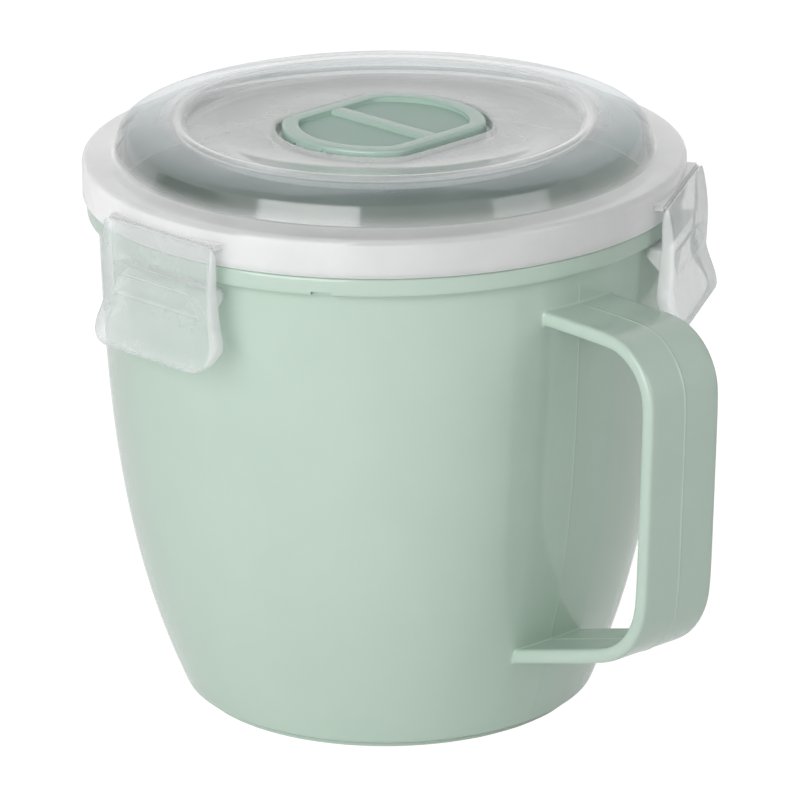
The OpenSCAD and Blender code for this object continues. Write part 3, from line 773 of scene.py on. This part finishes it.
class Shade:
    """A socket of a finish; sums and products of shades become Math nodes"""

    def __init__(self, tree, socket=None):
        self.tree = tree
        self.socket = socket

    def node(self, kind, settings=(), sockets=(), output=0):
        """Adds a node with its settings, then feeds its sockets with values or shades"""
        made = self.tree.nodes.new(kind)
        for name, value in dict(settings).items():
            setattr(made, name, value)
        for name, value in dict(sockets).items():
            if isinstance(value, Shade):
                self.tree.links.new(value.socket, made.inputs[name])
            else:
                made.inputs[name].default_value = value
        return Shade(self.tree, made.outputs[output] if made.outputs else None)

    def math(self, operation, *values):
        return self.node("ShaderNodeMath", {"operation": operation}, dict(enumerate(values)))

    def __add__(self, other):
        return self.math("ADD", self, other)

    def __sub__(self, other):
        return self.math("SUBTRACT", self, other)

    def __rsub__(self, other):
        return self.math("SUBTRACT", other, self)

    def __mul__(self, other):
        return self.math("MULTIPLY", self, other)

    __radd__ = __add__
    __rmul__ = __mul__

    def over(self, low, high):
        """0 below low, 1 above high, and smooth between"""
        return self.node("ShaderNodeMapRange", {"interpolation_type": "SMOOTHSTEP"},
                         {"Value": self, "From Min": low, "From Max": high})

    def between(self, first, second):
        """A colour that goes from first to second with this shade"""
        return self.node("ShaderNodeMix", {"data_type": "RGBA"}, {0: self, 6: first, 7: second}, 2)


def place_of(shade):
    """The piece's own coordinates"""
    return shade.node("ShaderNodeTexCoord", output="Object")


def start_finish(name):
    material = bpy.data.materials.new(name)
    material.use_nodes = True
    material.node_tree.nodes.clear()
    return material, Shade(material.node_tree)


def noise(shade, scale, detail=2, roughness=0.5, stretch=(1, 1, 1)):
    """Noise on the piece's own coordinates, in waves of about 1 / scale metres"""
    at = shade.node("ShaderNodeMapping", {}, {"Vector": place_of(shade), "Scale": stretch})
    return shade.node("ShaderNodeTexNoise", {}, {
        "Vector": at, "Scale": scale, "Detail": detail, "Roughness": roughness})


def scuffs(shade, density=0.72):
    """Thin, sparse handling marks, 0 to 1"""
    fine = noise(shade, 900, 3, 0.6, (1, 1, 0.12))
    patch = noise(shade, 35, 2)
    return fine.over(density, density + 0.06) * patch.over(0.5, 0.62)


def raise_skin(shade, height, strength, distance):
    return shade.node("ShaderNodeBump", {}, {"Strength": strength, "Distance": distance, "Height": height})


def see_through(shade, colour):
    return shade.node("ShaderNodeBsdfTransparent", {}, {"Color": colour})


def blend_of(shade, share, first, second):
    """One shader that goes over into another"""
    return shade.node("ShaderNodeMixShader", {}, {0: share, 1: first, 2: second})


def end_finish(material, shade, surface):
    shade.node("ShaderNodeOutputMaterial", {}, {"Surface": surface})
    return material


def green_plastic(name, deep, pale, roughness, matt_below=0):
    """Glossy moulded plastic with clouded colour, faint scuffs and a moulded skin, matt below a height"""
    material, shade = start_finish(name)
    cloud = noise(shade, 60, 3).over(0.3, 0.7)
    marks = scuffs(shade)
    skin = noise(shade, 700, 2)
    height = shade.node("ShaderNodeSeparateXYZ", {}, {"Vector": place_of(shade)}, "Z")
    matt = 1 - height.over(matt_below - 0.2 * MM, matt_below)
    bump = raise_skin(shade, skin - marks * 0.3, 0.02, 0.4 * MM)
    dullness = roughness + cloud * 0.015 + marks * 0.1 + matt * 0.4
    surface = shade.node("ShaderNodeBsdfPrincipled", {}, {
        "Base Color": cloud.between(deep, pale), "Roughness": dullness, "Normal": bump, "IOR": PLASTIC_IOR})
    return end_finish(material, shade, surface)


def slant_of(shade):
    """0 where a surface is seen head on, 1 where it is seen edge on"""
    return shade.node("ShaderNodeLayerWeight", {}, {"Blend": 0.5}, "Facing")


def reach_of(shade):
    """Distance from the mug's axis"""
    flat = shade.node("ShaderNodeVectorMath", {"operation": "MULTIPLY"}, {0: place_of(shade), 1: (1, 1, 0)})
    return shade.node("ShaderNodeVectorMath", {"operation": "LENGTH"}, {0: flat}, "Value")


def clear_plastic():
    """Clear lid: hazier at its bead and rim, with painted shade in the dome's side, milkier and glossier at a
    slant
    """
    material, shade = start_finish("clear lid plastic")
    haze = noise(shade, 80, 3).over(0.3, 0.75)
    marks = scuffs(shade, 0.7)
    skin = noise(shade, 500, 2)
    bump = raise_skin(shade, skin, 0.006, 0.4 * MM)
    slant = slant_of(shade)
    milk = shade.node("ShaderNodeBsdfPrincipled", {}, {
        "Base Color": haze.between((0.91, 0.91, 0.91, 1), (0.95, 0.95, 0.95, 1)),
        "Roughness": 0.5, "IOR": 1.1})
    mirror = shade.node("ShaderNodeBsdfPrincipled", {}, {
        "Base Color": haze.between((0.96, 0.96, 0.96, 1), (1, 1, 1, 1)), "Metallic": 1,
        "Roughness": 0.06 + haze * 0.04 + marks * 0.25, "Normal": bump})
    reach = reach_of(shade)
    rim = reach.over(PLUG_IN, PLUG_R)
    bead = reach.over(BEAD_R - 2 * BEAD_W, BEAD_R - BEAD_W) - reach.over(BEAD_R - BEAD_W, BEAD_R)
    thick = PANEL_HAZE - reach.over(BEAD_R, DOME_R) * (PANEL_HAZE - DOME_HAZE)
    thick = thick + rim * RIM_HAZE + bead * BEAD_HAZE + haze * 0.015 + marks * 0.06
    # Painted shade: this band of the dome's side takes the darker see-through tint
    dome = reach.over(BEAD_R, BEAD_R + 2 * BEAD_W) - reach.over(DOME_R - BEAD_W, DOME_R + BEAD_W)
    through = blend_of(shade, dome, see_through(shade, LID_TINT), see_through(shade, DOME_PAINTED_SHADE_TINT))
    cloudy = shade.math("DIVIDE", thick, 1.08 - slant)
    thrown_back = 0.04 + shade.math("POWER", slant, 5) * 0.9
    body = blend_of(shade, cloudy, through, milk)
    return end_finish(material, shade, blend_of(shade, thrown_back, body, mirror))


def frosted_plastic():
    """Milky clips: much of the mug shows through their faces, and their edges gather light and look white"""
    material, shade = start_finish("frosted clip plastic")
    cloud = noise(shade, 150, 3).over(0.3, 0.7)
    marks = scuffs(shade, 0.7)
    skin = noise(shade, 300, 1)
    bump = raise_skin(shade, skin - marks * 0.3, 0.01, 0.3 * MM)
    edge = shade.node("ShaderNodeAttribute", {"attribute_name": EDGE_AND_HIGHLIGHT_MARK}, {}, "Fac")
    slant = slant_of(shade)
    through = see_through(shade, CLIP_TINT)
    body = shade.node("ShaderNodeBsdfPrincipled", {}, {
        # Painted highlight: the base colour turns whiter with the edge mark, besides the thicker plastic seen
        # edge on
        "Base Color": (cloud * 0.4 + edge * 0.35).between((0.8, 0.815, 0.82, 1), (0.93, 0.94, 0.94, 1)),
        "Roughness": 0.2 + cloud * 0.05 + marks * 0.2, "Normal": bump, "IOR": PLASTIC_IOR})
    cover = CLIP_HAZE + shade.math("POWER", slant, 3) * 0.5 + cloud * 0.02 + edge * 0.34
    return end_finish(material, shade, blend_of(shade, cover, through, body))


def soft_silicone(name, deep, pale):
    """Matt soft rubber with a fine dusty skin"""
    material, shade = start_finish(name)
    cloud = noise(shade, 120, 3).over(0.3, 0.7)
    skin = noise(shade, 2500, 2)
    bump = raise_skin(shade, skin, 0.1, 0.2 * MM)
    surface = shade.node("ShaderNodeBsdfPrincipled", {}, {
        "Base Color": cloud.between(deep, pale), "Roughness": 0.5 + cloud * 0.12,
        "Normal": bump, "IOR": SILICONE_IOR})
    return end_finish(material, shade, surface)


# Studio

def seen_rays(shade):
    """1 for what the camera sees, straight, mirrored or through the lid"""
    rays = [shade.node("ShaderNodeLightPath", output=name)
            for name in ("Is Camera Ray", "Is Glossy Ray", "Is Transmission Ray")]
    return shade.math("MINIMUM", rays[0] + rays[1] + rays[2], 1)


def make_floor():
    """White sweep, whiter to the eye than in the mug's gloss"""
    deselect()
    bpy.ops.mesh.primitive_plane_add(size=6)
    floor = bpy.context.object
    floor.name = "floor"
    material, shade = start_finish("white floor")
    paper = noise(shade, 40, 2).over(0.3, 0.7)
    lit = shade.node("ShaderNodeBsdfDiffuse", {}, {
        "Color": paper.between((0.88, 0.88, 0.88, 1), (0.9, 0.9, 0.9, 1))})
    white = shade.node("ShaderNodeEmission", {}, {"Color": (1, 1, 1, 1), "Strength": 1.14})
    mirrored = shade.node("ShaderNodeLightPath", output="Is Glossy Ray")
    share = seen_rays(shade) * 0.86 - mirrored * 0.4
    floor.data.materials.append(end_finish(material, shade, blend_of(shade, share, lit, white)))


def make_world():
    world = bpy.data.worlds.new("studio")
    bpy.context.scene.world = world
    world.use_nodes = True
    world.node_tree.nodes.clear()
    shade = Shade(world.node_tree)
    seen = seen_rays(shade)
    glow = shade.node("ShaderNodeBackground", {}, {"Color": (1, 1, 1, 1), "Strength": 0.4 + seen * 0.6})
    shade.node("ShaderNodeOutputWorld", {}, {"Surface": glow})


CAMERA_TURN = math.radians(-41)
CAMERA_RISE = 19.31
CAMERA_ROLL = math.radians(-0.581)
CAMERA_D = 1.25
FOCAL_MM = 268.3
SENSOR_MM = 36
LENS_SHIFT = (0.0165, -0.00175)
TARGET = Vector((0, 0, 61.9 * MM))


def from_target(turn, rise, distance):
    """A place round the mug, by degrees from the camera's own side and above the table"""
    angle, height = CAMERA_TURN + math.radians(turn), math.radians(rise)
    flat = math.cos(height)
    return TARGET + distance * Vector((flat * math.cos(angle), flat * math.sin(angle), math.sin(height)))


def make_softbox(name, turn, rise, distance, width, height, power, mirrored=True):
    """Area light aimed at the mug: degrees, then metres, then watts"""
    light = bpy.data.lights.new(name, "AREA")
    light.shape = "RECTANGLE"
    light.size, light.size_y, light.energy = width, height, power
    box = bpy.data.objects.new(name, light)
    bpy.context.collection.objects.link(box)
    box.location = from_target(turn, rise, distance)
    box.rotation_euler = (TARGET - box.location).to_track_quat("-Z", "Y").to_euler()
    box.visible_camera = False
    box.visible_glossy = mirrored


def make_flag(name, turn, rise, distance, width, height, grey, mirrored=False):
    """Dark or grey card out of view, which shades the mug and may show in its gloss: degrees, then metres"""
    deselect()
    bpy.ops.mesh.primitive_plane_add(size=1)
    flag = bpy.context.object
    flag.name = name
    flag.data.transform(Matrix.Diagonal((width, height, 1, 1)))
    flag.location = from_target(turn, rise, distance)
    flag.rotation_euler = (TARGET - flag.location).to_track_quat("Z", "Y").to_euler()
    flag.visible_camera = False
    flag.visible_glossy = mirrored
    material, shade = start_finish(f"{name} card")
    felt = noise(shade, 30, 2).over(0.3, 0.7)
    cloth = shade.node("ShaderNodeBsdfDiffuse", {}, {
        "Color": felt.between((0.9 * grey, 0.9 * grey, 0.9 * grey, 1), (grey, grey, grey, 1))})
    flag.data.materials.append(end_finish(material, shade, cloth))


def make_camera():
    lens = bpy.data.cameras.new("camera")
    lens.lens = FOCAL_MM
    lens.sensor_width = SENSOR_MM
    lens.shift_x, lens.shift_y = LENS_SHIFT
    lens.clip_start = 0.05
    camera = bpy.data.objects.new("camera", lens)
    bpy.context.collection.objects.link(camera)
    camera.location = from_target(0, CAMERA_RISE, CAMERA_D)
    look = (TARGET - camera.location).to_track_quat("-Z", "Y").to_matrix()
    camera.rotation_euler = (look @ Matrix.Rotation(CAMERA_ROLL, 3, "Z")).to_euler()
    bpy.context.scene.camera = camera


def make_studio():
    make_camera()
    make_floor()
    make_world()
    make_softbox("key", -34, 20, 1.1, 0.8, 0.8, 8.3)
    make_softbox("fill", 61, 22, 1.2, 0.5, 0.5, 1.6)
    make_softbox("back", 180, 25, 1.2, 1.0, 0.6, 4.6, mirrored=False)
    make_flag("left_flag", -138, 10, 1.0, 1.15, 1.0, 0.06)
    make_flag("right_flag", 124, 10, 1.0, 1.35, 1.0, 0.06)
    make_flag("ceiling", 0, 90, 1.0, 1.6, 1.6, 0.6, mirrored=True)
    make_flag("dome_flag", -88, 17, 1.0, 0.8, 0.25, 0.05, mirrored=True)
    bpy.context.scene.view_settings.view_transform = "Standard"


def make_object():
    mug_green = green_plastic("mug plastic", (0.465, 0.582, 0.502, 1), (0.477, 0.594, 0.514, 1), 0.09)
    vent_green = green_plastic("vent plastic", (0.4, 0.54, 0.47, 1), (0.43, 0.57, 0.5, 1), 0.18,
                               BAR_TOP - 0.4 * MM)
    clear, frosted = clear_plastic(), frosted_plastic()
    white = soft_silicone("white seal silicone", (0.87, 0.87, 0.86, 1), (0.91, 0.91, 0.9, 1))
    grey = soft_silicone("stopper silicone", (0.62, 0.66, 0.64, 1), (0.68, 0.72, 0.7, 1))
    hand_over(make_mug(), "mug_body", "mug", mug_green)
    hand_over(make_lid(), "lid_shell", "lid", clear)
    hand_over(make_seal(), "lid_seal", "lid", white)
    hand_over(make_flap(), "vent_flap", "vent", vent_green)
    hand_over(make_stopper(), "vent_stopper", "vent", grey)
    clip, hinge = make_clip(), make_hinge()
    for place, degrees in CLIP_TURNS.items():
        turn = math.radians(degrees)
        hand_over(copy_piece(clip, f"{place}_clip", turn), f"clip_{place}", f"clip_{place}",
                  frosted, CLIP_SHARP)
        strip = copy_piece(hinge, f"{place}_hinge", turn)
        hand_over(strip, f"clip_hinge_{place}", None, frosted)
        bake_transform(strip)
    for pattern in (clip, hinge):
        bpy.data.objects.remove(pattern)


make_studio()
make_object()
